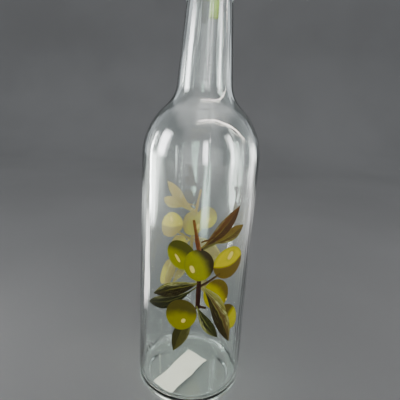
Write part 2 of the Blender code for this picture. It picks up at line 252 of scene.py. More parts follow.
def make_piece(name, points, faces, materials, node, attributes=(), face_materials=None, sharp=32):
    """A mesh of quads, with its poles closed, that rides on the body and stands for a solid."""
    points = points.reshape(-1, 3)
    mesh = bpy.data.meshes.new(name)
    mesh.vertices.add(len(points))
    mesh.vertices.foreach_set("co", points.astype(np.float32).ravel())
    mesh.loops.add(faces.size)
    mesh.loops.foreach_set("vertex_index", faces.astype(np.int32).ravel())
    mesh.polygons.add(len(faces))
    mesh.polygons.foreach_set("loop_start", np.arange(0, faces.size, 4, dtype=np.int32))
    for label, values in dict(attributes).items():
        kind, field = ATTRIBUTE_KINDS[values.shape[-1]]
        layer = mesh.attributes.new(label, kind, "POINT")
        layer.data.foreach_set(field, values.astype(np.float32).ravel())
    if face_materials is not None:
        mesh.polygons.foreach_set("material_index", face_materials.astype(np.int32))
    mesh.update(calc_edges=True)
    welded = bmesh.new()
    welded.from_mesh(mesh)
    bmesh.ops.remove_doubles(welded, verts=welded.verts, dist=WELD_DISTANCE)
    bmesh.ops.dissolve_degenerate(welded, edges=welded.edges, dist=SLIVER_LENGTH)
    welded.to_mesh(mesh)
    welded.free()
    for material in materials:
        mesh.materials.append(material)
    mesh.shade_smooth()
    mesh.set_sharp_from_angle(angle=math.radians(sharp))
    piece = new_object(name, mesh)
    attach(piece, "root")
    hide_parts(node)


class Nodes:
    """The node tree of a material, a light or a group, with short ways to add a node and to link it."""

    def __init__(self, tree):
        self.tree = tree

    def add(self, kind, values=(), **settings):
        """A node with its settings; each value goes to an input, linked if it is another's output."""
        node = self.tree.nodes.new(kind)
        for label, setting in settings.items():
            setattr(node, label, setting)
        for label, value in dict(values).items():
            self.give(node.inputs[label], value)
        return node

    def give(self, socket, value):
        """Links a socket to another node's output, or sets it to a plain value."""
        if isinstance(value, bpy.types.NodeSocket):
            self.tree.links.new(value, socket)
        else:
            socket.default_value = value

    def math(self, operation, first, second=0.0, third=0.0):
        return self.add("ShaderNodeMath", {0: first, 1: second, 2: third}, operation=operation).outputs[0]

    def times(self, first, second):
        return self.math("MULTIPLY", first, second)

    def minus(self, first, second):
        return self.math("SUBTRACT", first, second)

    def ramp(self, value, low, high, to_low=0.0, to_high=1.0):
        """A smooth step from to_low at low to to_high at high."""
        values = {"Value": value, "From Min": low, "From Max": high, "To Min": to_low, "To Max": to_high}
        return self.add("ShaderNodeMapRange", values, interpolation_type="SMOOTHSTEP").outputs["Result"]

    def mix(self, factor, first, second, blend="MIX"):
        """One colour over another; the colour sockets are numbers 6 and 7, and the result is number 2."""
        values = {0: factor, 6: first, 7: second}
        node = self.add("ShaderNodeMix", data_type="RGBA", blend_type=blend, clamp_factor=True)
        for number, value in values.items():
            self.give(node.inputs[number], value)
        return node.outputs[2]

    def place(self):
        """Where a point lies, in metres from the piece's origin."""
        return self.add("ShaderNodeTexCoord").outputs["Object"]

    def attribute(self, label, kind):
        """What the mesh says at a point: a Color, a Vector or a Fac."""
        return self.add("ShaderNodeAttribute", attribute_name=label).outputs[kind]

    def axes(self, vector):
        """A vector's X, Y and Z."""
        return tuple(self.add("ShaderNodeSeparateXYZ", {0: vector}).outputs)

    def stretched(self, vector, scale):
        return self.add("ShaderNodeMapping", {"Vector": vector, "Scale": scale}).outputs["Vector"]

    def noise(self, vector, scale, detail=2.0, roughness=0.5):
        values = {"Vector": vector, "Scale": scale, "Detail": detail, "Roughness": roughness}
        return self.add("ShaderNodeTexNoise", values).outputs["Fac"]

    def bump(self, height, strength, distance, **more):
        values = {"Height": height, "Strength": strength, "Distance": distance, **more}
        return self.add("ShaderNodeBump", values).outputs["Normal"]

    def surface(self, values):
        """Ends a material in one Principled shader with these values."""
        shader = self.add("ShaderNodeBsdfPrincipled", values)
        self.add("ShaderNodeOutputMaterial", {"Surface": shader.outputs[0]})


def new_material(name):
    """An empty node material and its nodes helper."""
    material = bpy.data.materials.new(name)
    material.use_nodes = True
    material.node_tree.nodes.clear()
    return material, Nodes(material.node_tree)


def glass_material():
    """Polished glass with faint drawn streaks, a fine ripple at the sides and handling marks.

    Shadow rays pass straight through it with a faint tint, and thick glass takes up more light.
    """
    material, nodes = new_material("clear_glass")
    place = nodes.place()
    x, _, z = nodes.axes(place)
    marks = nodes.noise(place, 38.0, detail=4.0, roughness=0.6)
    sides = nodes.ramp(nodes.math("ABSOLUTE", x), *RIPPLE_SIDES, RIPPLE_MIDDLE_SHARE, 1.0)
    upright = nodes.ramp(z, *RIPPLE_RISE)
    streaks = nodes.times(nodes.noise(nodes.stretched(place, STREAK_SCALE), 1.0), upright)
    fine = nodes.noise(nodes.stretched(place, RIPPLE_SCALE), 1.0, detail=1.0)
    ripple = nodes.times(fine, nodes.times(sides, upright))
    broad = nodes.bump(streaks, 0.40, STREAK_HEIGHT)
    bump = nodes.bump(ripple, 0.60, RIPPLE_HEIGHT, Normal=broad)
    rough = nodes.ramp(marks, 0.50, 0.75, 0.0, MARK_ROUGHNESS)
    glass = nodes.add("ShaderNodeBsdfPrincipled", {
        "Base Color": GLASS_TINT, "Metallic": 0.0, "Roughness": rough, "IOR": 1.51,
        "Transmission Weight": 1.0, "Normal": bump,
    })
    clear = nodes.add("ShaderNodeBsdfTransparent", {"Color": SHADOW_TINT})
    shadow = nodes.add("ShaderNodeLightPath").outputs["Is Shadow Ray"]
    mixed = nodes.add("ShaderNodeMixShader", {0: shadow, 1: glass.outputs[0], 2: clear.outputs[0]})
    thick = nodes.add("ShaderNodeVolumeAbsorption", {"Color": GLASS_THICK_TINT, "Density": GLASS_DENSITY})
    nodes.add("ShaderNodeOutputMaterial", {"Surface": mixed.outputs[0], "Volume": thick.outputs[0]})
    return material


def make_bottle():
    """The glass goes up its inner wall, over the lip and down its outer wall, to the recess's middle.

    The inner wall wavers and the finish carries the thread. The seams run down the neck and the
    shoulder, and fade out at the top of the body.
    """
    inner_heel_r = BODY_RADIUS - WALL - INNER_HEEL_RADIUS
    inside = fine_rows(np.vstack((
        [(0.0, FLOOR_HEIGHT + FLOOR_RISE)],
        [(FLOOR_CROWN_RADIUS, FLOOR_HEIGHT + FLOOR_CROWN_SHARE * FLOOR_RISE)],
        arc((inner_heel_r, FLOOR_HEIGHT + INNER_HEEL_RADIUS), INNER_HEEL_RADIUS, -90, 0, 16),
        shoulder_curve(WALL, 20)[::-1],
        [(BORE_ENTRY_RADIUS, BORE_ENTRY), (BORE_RADIUS, BORE_BOTTOM), (BORE_RADIUS, FINISH_TOP - LIP_ROUND)],
    )), INNER_STEP)
    lip = np.vstack((
        arc((BORE_RADIUS + LIP_ROUND, FINISH_TOP - LIP_ROUND), LIP_ROUND, 180, 90, 5)[1:],
        arc((FINISH_RADIUS - LIP_ROUND, FINISH_TOP - LIP_ROUND), LIP_ROUND, 90, 0, 5),
    ))
    finish_ends = (FINISH_TOP - LIP_ROUND - LIP_CLEARANCE, BEAD_MIDDLE + BEAD_HEIGHT / 2 + BEAD_CLEARANCE)
    finish = fine_rows(np.array([(FINISH_RADIUS, end) for end in finish_ends]), THREAD_STEP)
    bead = arc((BEAD_RADIUS - BEAD_HEIGHT / 2, BEAD_MIDDLE), BEAD_HEIGHT / 2, *BEAD_ARC, 12)
    neck_r = NECK_FOOT_RADIUS - NECK_TAPER * (NECK_TOP - shoulder_curve(0.0, 2)[0, 1])
    recess_r = np.linspace(RING_INNER_RADIUS, RECESS_RADIUS - RECESS_BLEND, RECESS_ROWS)
    outside = fine_rows(np.vstack((
        [(neck_r, NECK_TOP)],
        shoulder_curve(0.0, 22),
        arc((BODY_RADIUS - HEEL_RADIUS, HEEL_RADIUS), HEEL_RADIUS, 0, -90, 12),
        np.column_stack((recess_r, np.zeros(RECESS_ROWS))),
        [(0.0, RECESS_HEIGHT)],
    )), OUTER_STEP)
    profile = np.vstack((inside, lip, finish, bead, outside))
    angle = round_about(BOTTLE_COLUMNS, SEAM_ANGLES)
    r, z = profile[:, :1], profile[:, 1:]
    row = np.arange(len(profile))[:, None]
    finish_start = len(inside) + len(lip)
    on_outside = row >= len(profile) - len(outside)
    waving = (row < len(inside)) & (r > 0)
    threaded = (row >= finish_start) & (row < finish_start + len(finish))
    seamed = on_outside & (z > HEEL_RADIUS)
    seam = seam_relief(angle, r) * smooth_step(SEAM_FADE, BODY_TOP, z)
    radius = np.where(waving, r + wall_wave(angle, z), r)
    radius = np.where(threaded, radius + thread_relief(angle, z), radius)
    radius = np.where(seamed, radius + seam, radius)
    points = turned(radius, z, angle)
    under = (on_outside & (r <= RING_INNER_RADIUS) & (z < FLOOR_HEIGHT))[:, 0]
    points[under, :, 2] = push_up(r[under], angle)
    faces = grid_faces(*points.shape[:2], closed=True)
    make_piece("bottle", points, faces, [glass_material()], "glass_bottle")


make_bottle()


# --------------------------------------------
# The pourer. A soft lime-green plastic plug pushed into the bore: fins grip the glass, a flange
# sits on the lip, a leaning spout with a slanted mouth pours, and a thin tube lets air in.
# It is moulded in one go, has a soft shine, and is slightly translucent where it is thin.
FIT_GAP = 0.0003
PLUG_RADIUS = 0.0079
PLUG_BOTTOM = 0.2700
PLUG_ROUND = 0.0011
PLUG_COLUMNS = 96
FIN_COUNT = 3
FIN_TOP = 0.2858
FIN_PITCH = 0.0048
FIN_RADIUS = 0.0089
FIN_SLOPE = 0.0005
FIN_ROUND = 0.0002
FIN_EDGE = 0.0004
FIN_UNDERSIDE = 0.0011
FLANGE_RADIUS = 0.0128
FLANGE_THICKNESS = 0.0026
FLANGE_TOP_ROUND = 0.0008
FLANGE_UNDER_ROUND = 0.0004
HUB_RADIUS = 0.0088
HUB_HEIGHT = 0.0040
HUB_ROUND = 0.0010
HUB_FILLET = 0.0022
TUBE_COLUMNS = 48
SPOUT_ROOT_X = -0.0032
SPOUT_ROOT_RADIUS = 0.0053
SPOUT_TIP_RADIUS = 0.0037
SPOUT_START = 0.0005
SPOUT_FOOT_TOP = 0.0080
SPOUT_STEM_BOTTOM = 0.0100
SPOUT_LENGTH = 0.0400
SPOUT_LEAN = math.radians(13)
SPOUT_FLARE = 0.0018
SPOUT_FLARE_ENDS = (0.0035, 0.0085)
SPOUT_BORE_RADIUS = 0.0021
SPOUT_BORE_BOTTOM = 0.0040
SPOUT_LIP_ROUND = 0.0004
MOUTH_SLANT = math.radians(38)
MOUTH_SLANT_SHARE = 0.5
VENT_X = 0.0030
VENT_RADIUS = 0.00275
VENT_BORE_RADIUS = 0.0019
VENT_BOTTOM = 0.2510
VENT_ROOT = 0.0040
VENT_OUTER_BEVEL = (0.0002, 0.0004)
VENT_INNER_BEVEL = (0.0001, 0.0003)
LIME = (0.15, 0.23, 0.0008, 1.0)
LIME_PALE = (0.18, 0.27, 0.002, 1.0)


def lime_material():
    """Moulded plastic with a soft shine: faint flow marks in its colour and an orange-peel skin."""
    material, nodes = new_material("lime_plastic")
    place = nodes.place()
    flow = nodes.noise(nodes.stretched(place, (1, 1, 0.35)), 240.0, detail=3.0)
    peel = nodes.noise(place, 1500.0, detail=1.0)
    nodes.surface({
        "Base Color": nodes.mix(nodes.ramp(flow, 0.3, 0.7), LIME, LIME_PALE),
        "Roughness": nodes.ramp(peel, 0.3, 0.7, 0.36, 0.46), "IOR": 1.50, "Specular IOR Level": 0.16,
        "Subsurface Weight": 0.25, "Subsurface Scale": 0.0015, "Normal": nodes.bump(peel, 0.12, 0.0002),
    })
    return material


def make_moulding(name, points, material):
    """A part of the pourer, from its turned grid of points."""
    faces = grid_faces(*points.shape[:2], closed=True)
    make_piece(name, points, faces, [material], "pourer")


def make_plug(material):
    """A turned plug whose outline steps out at each fin, at the flange and at the hub.

    From the top down, a fin slopes out to a short upright edge with bevelled corners, and back in.
    """
    flange_bottom = FINISH_TOP + FIT_GAP
    flange_top = flange_bottom + FLANGE_THICKNESS
    hub_top = flange_top + HUB_HEIGHT
    edge_r = FIN_RADIUS - FIN_ROUND
    fin_r = (PLUG_RADIUS, edge_r, FIN_RADIUS, FIN_RADIUS, edge_r, PLUG_RADIUS)
    down = np.cumsum((0.0, FIN_SLOPE, FIN_ROUND, FIN_EDGE, FIN_ROUND, FIN_UNDERSIDE))
    fins = [np.column_stack((fin_r, top - down)) for top in FIN_TOP - FIN_PITCH * np.arange(FIN_COUNT)]
    profile = np.vstack((
        [(0.0, hub_top)],
        arc((HUB_RADIUS - HUB_ROUND, hub_top - HUB_ROUND), HUB_ROUND, 90, 0, 6),
        arc((HUB_RADIUS + HUB_FILLET, flange_top + HUB_FILLET), HUB_FILLET, 180, 270, 8),
        arc((FLANGE_RADIUS - FLANGE_TOP_ROUND, flange_top - FLANGE_TOP_ROUND), FLANGE_TOP_ROUND, 90, 0, 6),
        arc((FLANGE_RADIUS - FLANGE_UNDER_ROUND, flange_bottom + FLANGE_UNDER_ROUND), FLANGE_UNDER_ROUND,
            0, -90, 4),
        [(PLUG_RADIUS, flange_bottom)],
        *fins,
        arc((PLUG_RADIUS - PLUG_ROUND, PLUG_BOTTOM + PLUG_ROUND), PLUG_ROUND, 0, -90, 6),
        [(0.0, PLUG_BOTTOM)],
    ))
    points = turned(profile[:, :1], profile[:, 1:], round_about(PLUG_COLUMNS))
    make_moulding("pourer_plug", points, material)


def straight(radius, start, end, count=8):
    """Points at equal steps from one height to another, all at one radius."""
    return np.column_stack((np.full(count, radius), np.linspace(start, end, count)))


def make_spout(material):
    """A tapering tube turned about its own leaning axis, with its end cut on a slant.

    At the mouth each point is moved along the axis by its distance to the high side times the
    tangent of the slant. The root flares into the hub, and the bore goes down inside.
    """
    root = np.array((SPOUT_ROOT_X, 0.0, FINISH_TOP + FIT_GAP + FLANGE_THICKNESS))
    lean = np.array((-math.sin(SPOUT_LEAN), 0.0, math.cos(SPOUT_LEAN)))
    side = np.array((math.cos(SPOUT_LEAN), 0.0, math.sin(SPOUT_LEAN)))
    foot = np.linspace(SPOUT_START, SPOUT_FOOT_TOP, 10)
    along = np.concatenate((foot, np.linspace(SPOUT_STEM_BOTTOM, SPOUT_LENGTH, 14)))
    taper = SPOUT_ROOT_RADIUS + (SPOUT_TIP_RADIUS - SPOUT_ROOT_RADIUS) * along / SPOUT_LENGTH
    flare = SPOUT_FLARE * (1 - smooth_step(*SPOUT_FLARE_ENDS, along)) ** 2
    profile = np.vstack((
        [(0.0, SPOUT_START)],
        np.column_stack((taper + flare, along)),
        arc((SPOUT_TIP_RADIUS - SPOUT_LIP_ROUND, SPOUT_LENGTH), SPOUT_LIP_ROUND, 0, 180, 6),
        straight(SPOUT_BORE_RADIUS, SPOUT_LENGTH, SPOUT_BORE_BOTTOM),
        [(0.0, SPOUT_BORE_BOTTOM)],
    ))[::-1]
    angle = round_about(TUBE_COLUMNS)
    radius, height = profile[:, :1], profile[:, 1:]
    cut = smooth_step(MOUTH_SLANT_SHARE * SPOUT_LENGTH, SPOUT_LENGTH, height)
    slant = math.tan(MOUTH_SLANT) * (radius * np.cos(angle) + SPOUT_TIP_RADIUS)
    distance = height - cut * slant
    points = (root + distance[..., None] * lean
              + (radius * np.cos(angle))[..., None] * side
              + (radius * np.sin(angle))[..., None] * np.array((0.0, 1.0, 0.0)))
    make_moulding("pourer_spout", points, material)


def make_vent(material):
    """A thin tube turned about an upright axis beside the middle, open at its lower end.

    It starts inside the plug, and its lower end is bevelled outside and inside.
    """
    top = PLUG_BOTTOM + VENT_ROOT
    outer_in, outer_up = VENT_OUTER_BEVEL
    bore_out, bore_up = VENT_INNER_BEVEL
    profile = np.vstack((
        [(0.0, top), (VENT_RADIUS, top)],
        straight(VENT_RADIUS, PLUG_BOTTOM, VENT_BOTTOM + outer_up),
        [(VENT_RADIUS - outer_in, VENT_BOTTOM), (VENT_BORE_RADIUS + bore_out, VENT_BOTTOM)],
        straight(VENT_BORE_RADIUS, VENT_BOTTOM + bore_up, PLUG_BOTTOM),
        [(0.0, PLUG_BOTTOM)],
    ))
    points = turned(profile[:, :1], profile[:, 1:], round_about(TUBE_COLUMNS)) + (VENT_X, 0.0, 0.0)
    make_moulding("pourer_vent", points, material)


lime = lime_material()
make_plug(lime)
make_spout(lime)
make_vent(lime)


# --------------------------------------------
# The olive sprigs. The same ornament is printed twice in enamel ink, on the front and on the back
# of the body: leaves, olives and twigs in thin coats fired onto the glass, darker coats last.
# From behind, through the glass, each print shows its pale ground coat.
MM = 0.001
GROUND_SINK = 0.00003
GROUND_STEP = 0.0000025
COAT_BASE = 0.00003
COAT_STEP = 0.000025
INK_GAIN = 0.55
LIGHT_SIDE_GAIN = 0.80
PRINTS = {"front": 0.0, "back": math.radians(180)}


def linear(red, green, blue, gain=1.0):
    """A colour named by its 0 to 255 display values, as the linear values that a shader takes."""
    display = np.array((red, green, blue)) / 255
    values = np.where(display <= 0.04045, display / 12.92, ((display + 0.055) / 1.055) ** 2.4)
    return (*(gain * values), 1.0)


def ink(red, green, blue):
    """A display colour made as deep as fired enamel."""
    return linear(red, green, blue, INK_GAIN)


# base u, v; tip u, v; half width; power that moves the widest place; sideways bend; coat; lengths in mm
# blade, shaded half and light rib colours; side of the light edge, its width and strength
LEAVES = (
    (3.4, 119.6, 27.8, 145.0, 4.2, 1.22, -1.2, 2,
     (122, 72, 8), (88, 48, 4), (176, 158, 54), 1, 0.12, 0.5),
    (8.0, 121.2, 32.6, 131.6, 4.3, 1.55, -0.4, 1,
     (150, 120, 30), (118, 90, 20), (192, 196, 66), -1, 0.16, 0.8),
    (3.6, 96.9, -27.5, 82.3, 4.6, 1.06, -0.9, 2,
     (44, 30, 8), (50, 48, 12), (186, 182, 60), -1, 0.34, 1.0),
    (3.1, 94.8, -32.2, 74.1, 4.3, 1.72, 2.5, 1,
     (36, 37, 16), (46, 47, 18), (150, 154, 62), -1, 0.20, 0.8),
    (2.7, 79.5, -10.6, 46.0, 4.9, 1.35, -1.0, 1,
     (112, 108, 46), (80, 76, 30), (142, 138, 56), 1, 0.08, 0.3),
    (2.9, 80.9, 18.5, 56.0, 3.6, 1.25, -1.1, 2,
     (48, 50, 12), (36, 34, 8), (200, 206, 96), -1, 0.36, 1.0),
    (5.9, 94.1, 28.5, 49.3, 5.2, 1.36, 1.7, 4,
     (130, 102, 46), (50, 34, 10), (206, 206, 96), 1, 0.34, 1.0),
    (5.9, 94.5, 23.6, 74.9, 2.4, 1.05, 0.6, 3,
     (204, 200, 90), (166, 162, 70), (220, 216, 120), 1, 0.20, 0.9),
)
LEAF_UNIT = 30
LEAF_ROWS = 44
LEAF_COLUMNS = 11
STALK_HALF_WIDTH = 0.45


def ribbon(axis, half_width, columns):
    """Points (u, v) either side of an axis, s half widths across it: axis + s * half width * across."""
    along = np.gradient(axis, axis=0)
    across = np.column_stack((-along[:, 1], along[:, 0])) / np.hypot(*along.T)[:, None]
    s = np.linspace(-1, 1, columns)
    return axis[:, None] + s[None, :, None] * half_width[:, None, None] * across[:, None]


def leaf_motif(leaf):
    """A pointed oval along a bent midrib.

    The midrib leaves the straight line from base to tip by a sine wave. The blade's half width is a
    sine of the way along, raised to a power that moves the widest place towards the tip, and a stalk
    that thins to nothing runs through it.
    """
    base, tip = np.array(leaf[0:2]), np.array(leaf[2:4])
    half_width, fullness, bend, coat = leaf[4:8]
    t = np.linspace(0, 1, LEAF_ROWS)
    chord = tip - base
    across = np.array((-chord[1], chord[0])) / np.hypot(*chord)
    axis = base + t[:, None] * chord + bend * np.sin(math.pi * t)[:, None] * across
    half = np.maximum(half_width * np.sin(math.pi * t ** fullness), STALK_HALF_WIDTH * (1 - t))
    s = np.linspace(-1, 1, LEAF_COLUMNS)
    place = grid(t[:, None], s, np.hypot(*chord) / LEAF_UNIT)
    blade, shade, rib = (ink(*colour) for colour in leaf[8:11])
    return {"points": ribbon(axis, half, LEAF_COLUMNS), "coat": coat,
            "values": {"place": place, "blade": blade, "shade": shade, "rib": rib, "edge": leaf[11:14]}}


# centre u, v; half length; half width; tilt in degrees; coat
# where the dark side lies, in degrees from +u; where it starts, and how soft its edge is, in half widths
# gleam: place in half widths, half length and half width, and tilt; light, dark and rim colours
OLIVES = (
    (-8.2, 114.0, 10.0, 8.4, -52, 2, 62, 0.18, 0.32, (-0.26, -0.24, 0.36, 0.11, -56),
     (180, 181, 0), (110, 110, 14), (215, 220, 80)),
    (2.9, 108.5, 10.4, 9.1, -81, 3, 30, 0.44, 0.34, (-0.43, -0.30, 0.28, 0.15, -68),
     (178, 179, 0), (64, 50, 4), (190, 195, 30)),
    (22.6, 108.6, 11.2, 10.2, 35, 1, -78, 0.20, 0.10, (0.06, 0.46, 0.28, 0.16, 58),
     (255, 238, 0), (150, 122, 28), (235, 225, 40)),
    (15.3, 88.1, 10.7, 8.6, -80, 1, 38, 0.42, 0.30, (0.9, -0.6, 0.1, 0.1, 0),
     (208, 199, 0), (150, 127, 24), (215, 205, 60)),
    (26.5, 69.1, 11.3, 6.7, -59, 1, 150, 0.25, 0.40, (-0.9, -0.6, 0.1, 0.1, 0),
     (224, 216, 20), (130, 110, 28), (225, 215, 60)),
    (-6.6, 73.7, 11.0, 9.8, 66, 5, 96, 0.16, 0.35, (0.19, -0.40, 0.17, 0.13, 60),
     (176, 172, 0), (119, 109, 28), (205, 205, 40)),
)
OLIVE_ROWS = 30
OLIVE_COLUMNS = 21
FRONT_CURVE = 0.25


def olive_motif(olive):
    """An ellipse, as a ribbon along its long axis.

    The axis runs from end to end by a cosine, and the half width is the matching sine. Its colours
    follow three things: how far a point lies past the dark side's slightly curved front, where it lies
    in the gleam, in the gleam's own half sizes, and how far out it lies, which is 1 at the rim.
    """
    centre = np.array(olive[0:2])
    half_length, half_width, tilt, coat, dark_side, dark_start, softness = olive[2:9]
    gleam_u, gleam_v, gleam_length, gleam_width, gleam_tilt = olive[9]
    t = np.linspace(0, math.pi, OLIVE_ROWS)
    tilt = math.radians(tilt)
    axis = centre - half_length * np.cos(t)[:, None] * np.array((math.cos(tilt), math.sin(tilt)))
    s = np.linspace(-1, 1, OLIVE_COLUMNS)
    across = np.array((-math.sin(tilt), math.cos(tilt)))
    points = axis[:, None] + (half_width * np.sin(t)[:, None] * s)[..., None] * across
    offset = (points - centre) / half_width
    direction = math.radians(dark_side)
    into = offset[..., 0] * math.cos(direction) + offset[..., 1] * math.sin(direction)
    aside = offset[..., 1] * math.cos(direction) - offset[..., 0] * math.sin(direction)
    shade = (into + FRONT_CURVE * aside ** 2 - dark_start) / softness
    turn = math.radians(gleam_tilt)
    away = offset - np.array((gleam_u, gleam_v))
    gleam = grid((away[..., 0] * math.cos(turn) + away[..., 1] * math.sin(turn)) / gleam_length,
                 (away[..., 1] * math.cos(turn) - away[..., 0] * math.sin(turn)) / gleam_width, shade)
    outward = np.hypot(np.cos(t)[:, None], np.sin(t)[:, None] * s)[..., None]
    return {"points": points, "coat": coat,
            "values": {"outward": outward, "gleam": gleam, "light": linear(*olive[10], LIGHT_SIDE_GAIN),
                       "dark": ink(*olive[11]), "rim": ink(*olive[12])}}


# start u, v; end u, v; start width; end width, in mm; coat; start, end and lit side colours
TWIGS = (
    (2.4, 118.0, -1.7, 137.1, 3.0, 1.4, 3, (142, 68, 10), (158, 98, 20), (214, 156, 76)),
    (3.4, 119.6, 3.6, 79.0, 2.6, 2.8, 2, (54, 16, 0), (52, 14, 0), (108, 56, 30)),
    (4.4, 94.4, 16.5, 102.4, 1.8, 1.2, 1, (70, 42, 12), (108, 80, 34), (146, 114, 60)),
    (3.2, 123.4, 11.5, 126.4, 1.2, 0.8, 2, (110, 66, 22), (84, 52, 20), (170, 128, 60)),
    (3.2, 118.6, 12.0, 123.0, 1.8, 1.8, 1, (110, 96, 34), (124, 112, 44), (180, 184, 84)),
    (3.2, 80.9, 9.0, 79.3, 2.4, 1.4, 1, (70, 42, 20), (62, 44, 24), (110, 84, 50)),
)
TWIG_ROWS = 24
TWIG_COLUMNS = 7
BUD_SWELLING = 0.10
BUD_WAVES = 3.2


def twig_motif(twig):
    """A straight ribbon that narrows evenly, with a slight swelling at each bud."""
    start, end = np.array(twig[0:2]), np.array(twig[2:4])
    t = np.linspace(0, 1, TWIG_ROWS)
    axis = start + t[:, None] * (end - start)
    swelling = 1 + BUD_SWELLING * np.sin(BUD_WAVES * math.pi * t + start[1])
    half = 0.5 * (twig[4] + (twig[5] - twig[4]) * t) * swelling
    s = np.linspace(-1, 1, TWIG_COLUMNS)
    place = grid(t[:, None], s, 0.0)
    near, far, lit = (ink(*colour) for colour in twig[7:10])
    return {"points": ribbon(axis, half, TWIG_COLUMNS), "coat": twig[6],
            "values": {"place": place, "near": near, "far": far, "lit": lit}}


def onto_wall(points, radius, turn):
    """Wall places (u, v) in mm on the cylinder of a radius: the angle is u / body radius from -Y."""
    angle = points[..., 0] * MM / BODY_RADIUS + turn
    return grid(radius * np.sin(angle), -radius * np.cos(angle), points[..., 1] * MM)


def slab_faces(rows, columns):
    """A thin slab's faces: its front, its back, whose points come after the front's, and its rim."""
    count = rows * columns
    index = np.arange(count).reshape(rows, columns)
    front = grid_faces(rows, columns, closed=False)
    around = np.concatenate((index[0, :-1], index[:-1, -1], index[-1, :0:-1], index[:0:-1, 0]))
    rim = np.stack((around, np.roll(around, -1)), axis=-1)
    return front, count + front[:, ::-1], np.column_stack((rim, rim[:, ::-1] + count))


def make_print(name, motifs, turn, node, coats):
    """One ink's motifs on the wall: each is a closed coat, its outer face, its ground face and its rim.

    The ground face lies just inside the glass's surface, as fired ink has no air behind it.
    """
    points, faces, sides, values = [], [], [], {}
    start = 0
    for motif in motifs:
        rows, columns = motif["points"].shape[:2]
        count = rows * columns
        outer_radius = BODY_RADIUS + COAT_BASE + COAT_STEP * motif["coat"]
        ground_radius = BODY_RADIUS - GROUND_SINK - GROUND_STEP * motif["coat"]
        points += [onto_wall(motif["points"], radius, turn).reshape(-1, 3)
                   for radius in (outer_radius, ground_radius)]
        for part, side in zip(slab_faces(rows, columns), (0, 1, 0)):
            faces.append(start + part)
            sides.append(np.full(len(part), side))
        for label, value in motif["values"].items():
            spread = np.broadcast_to(value, (rows, columns, np.shape(value)[-1]))
            values.setdefault(label, []).extend([spread.reshape(count, -1)] * 2)
        start += 2 * count
    values = {label: np.vstack(parts) for label, parts in values.items()}
    make_piece(name, np.vstack(points), np.vstack(faces), coats, node,
               attributes=values, face_materials=np.concatenate(sides), sharp=50)


def ink_grain_group():
    """What every ink shares: a fine mottle in its colour, and how much of the ground coat covers it."""
    tree = bpy.data.node_groups.new("ink_grain", "ShaderNodeTree")
    for label, way, kind in (("Colour", "INPUT", "Color"), ("Ground Colour", "INPUT", "Color"),
                             ("Ground", "INPUT", "Float"), ("Mottle", "INPUT", "Float"),
                             ("Colour", "OUTPUT", "Color"), ("Height", "OUTPUT", "Float")):
        tree.interface.new_socket(label, in_out=way, socket_type="NodeSocket" + kind)
    nodes = Nodes(tree)
    given = nodes.add("NodeGroupInput").outputs
    place = nodes.place()
    broad = nodes.noise(place, 420.0, detail=3.0)
    fine = nodes.noise(place, 2600.0)
    level = nodes.math("ADD", nodes.times(broad, 0.6), nodes.times(fine, 0.4))
    gain = nodes.math("MULTIPLY_ADD", nodes.minus(level, 0.5), nodes.times(given["Mottle"], 2.0), 1.0)
    grey = nodes.add("ShaderNodeCombineColor", {"Red": gain, "Green": gain, "Blue": gain}).outputs[0]
    mottled = nodes.mix(1.0, given["Colour"], grey, blend="MULTIPLY")
    covered = nodes.mix(given["Ground"], mottled, given["Ground Colour"])
    nodes.add("NodeGroupOutput", {"Colour": covered, "Height": fine})
    return tree


INK_GRAIN = ink_grain_group()
GROUND_COLOUR = linear(194, 173, 106)
GROUND_SHARE = 0.56
PALE_STROKE = linear(222, 222, 150)
HALO_COLOUR = ink(188, 184, 60)
GLEAM_COLOUR = linear(255, 232, 110, 1.15)
LEAF_VEINS = 15.0
VEIN_SLANT = 2.2
GLEAM_POWER = 2.6


def finish_ink(material, nodes, colour, ground, mottle):
    """Ends an ink: the shared grain, then a satin enamel."""
    grain = nodes.add("ShaderNodeGroup", node_tree=INK_GRAIN)
    given = {"Colour": colour, "Ground Colour": GROUND_COLOUR, "Ground": ground, "Mottle": mottle}
    for label, value in given.items():
        nodes.give(grain.inputs[label], value)
    nodes.surface({
        "Base Color": grain.outputs["Colour"], "Roughness": 0.42, "IOR": 1.5, "Specular IOR Level": 0.10,
        "Normal": nodes.bump(grain.outputs["Height"], 0.10, 0.00005),
    })
    return material


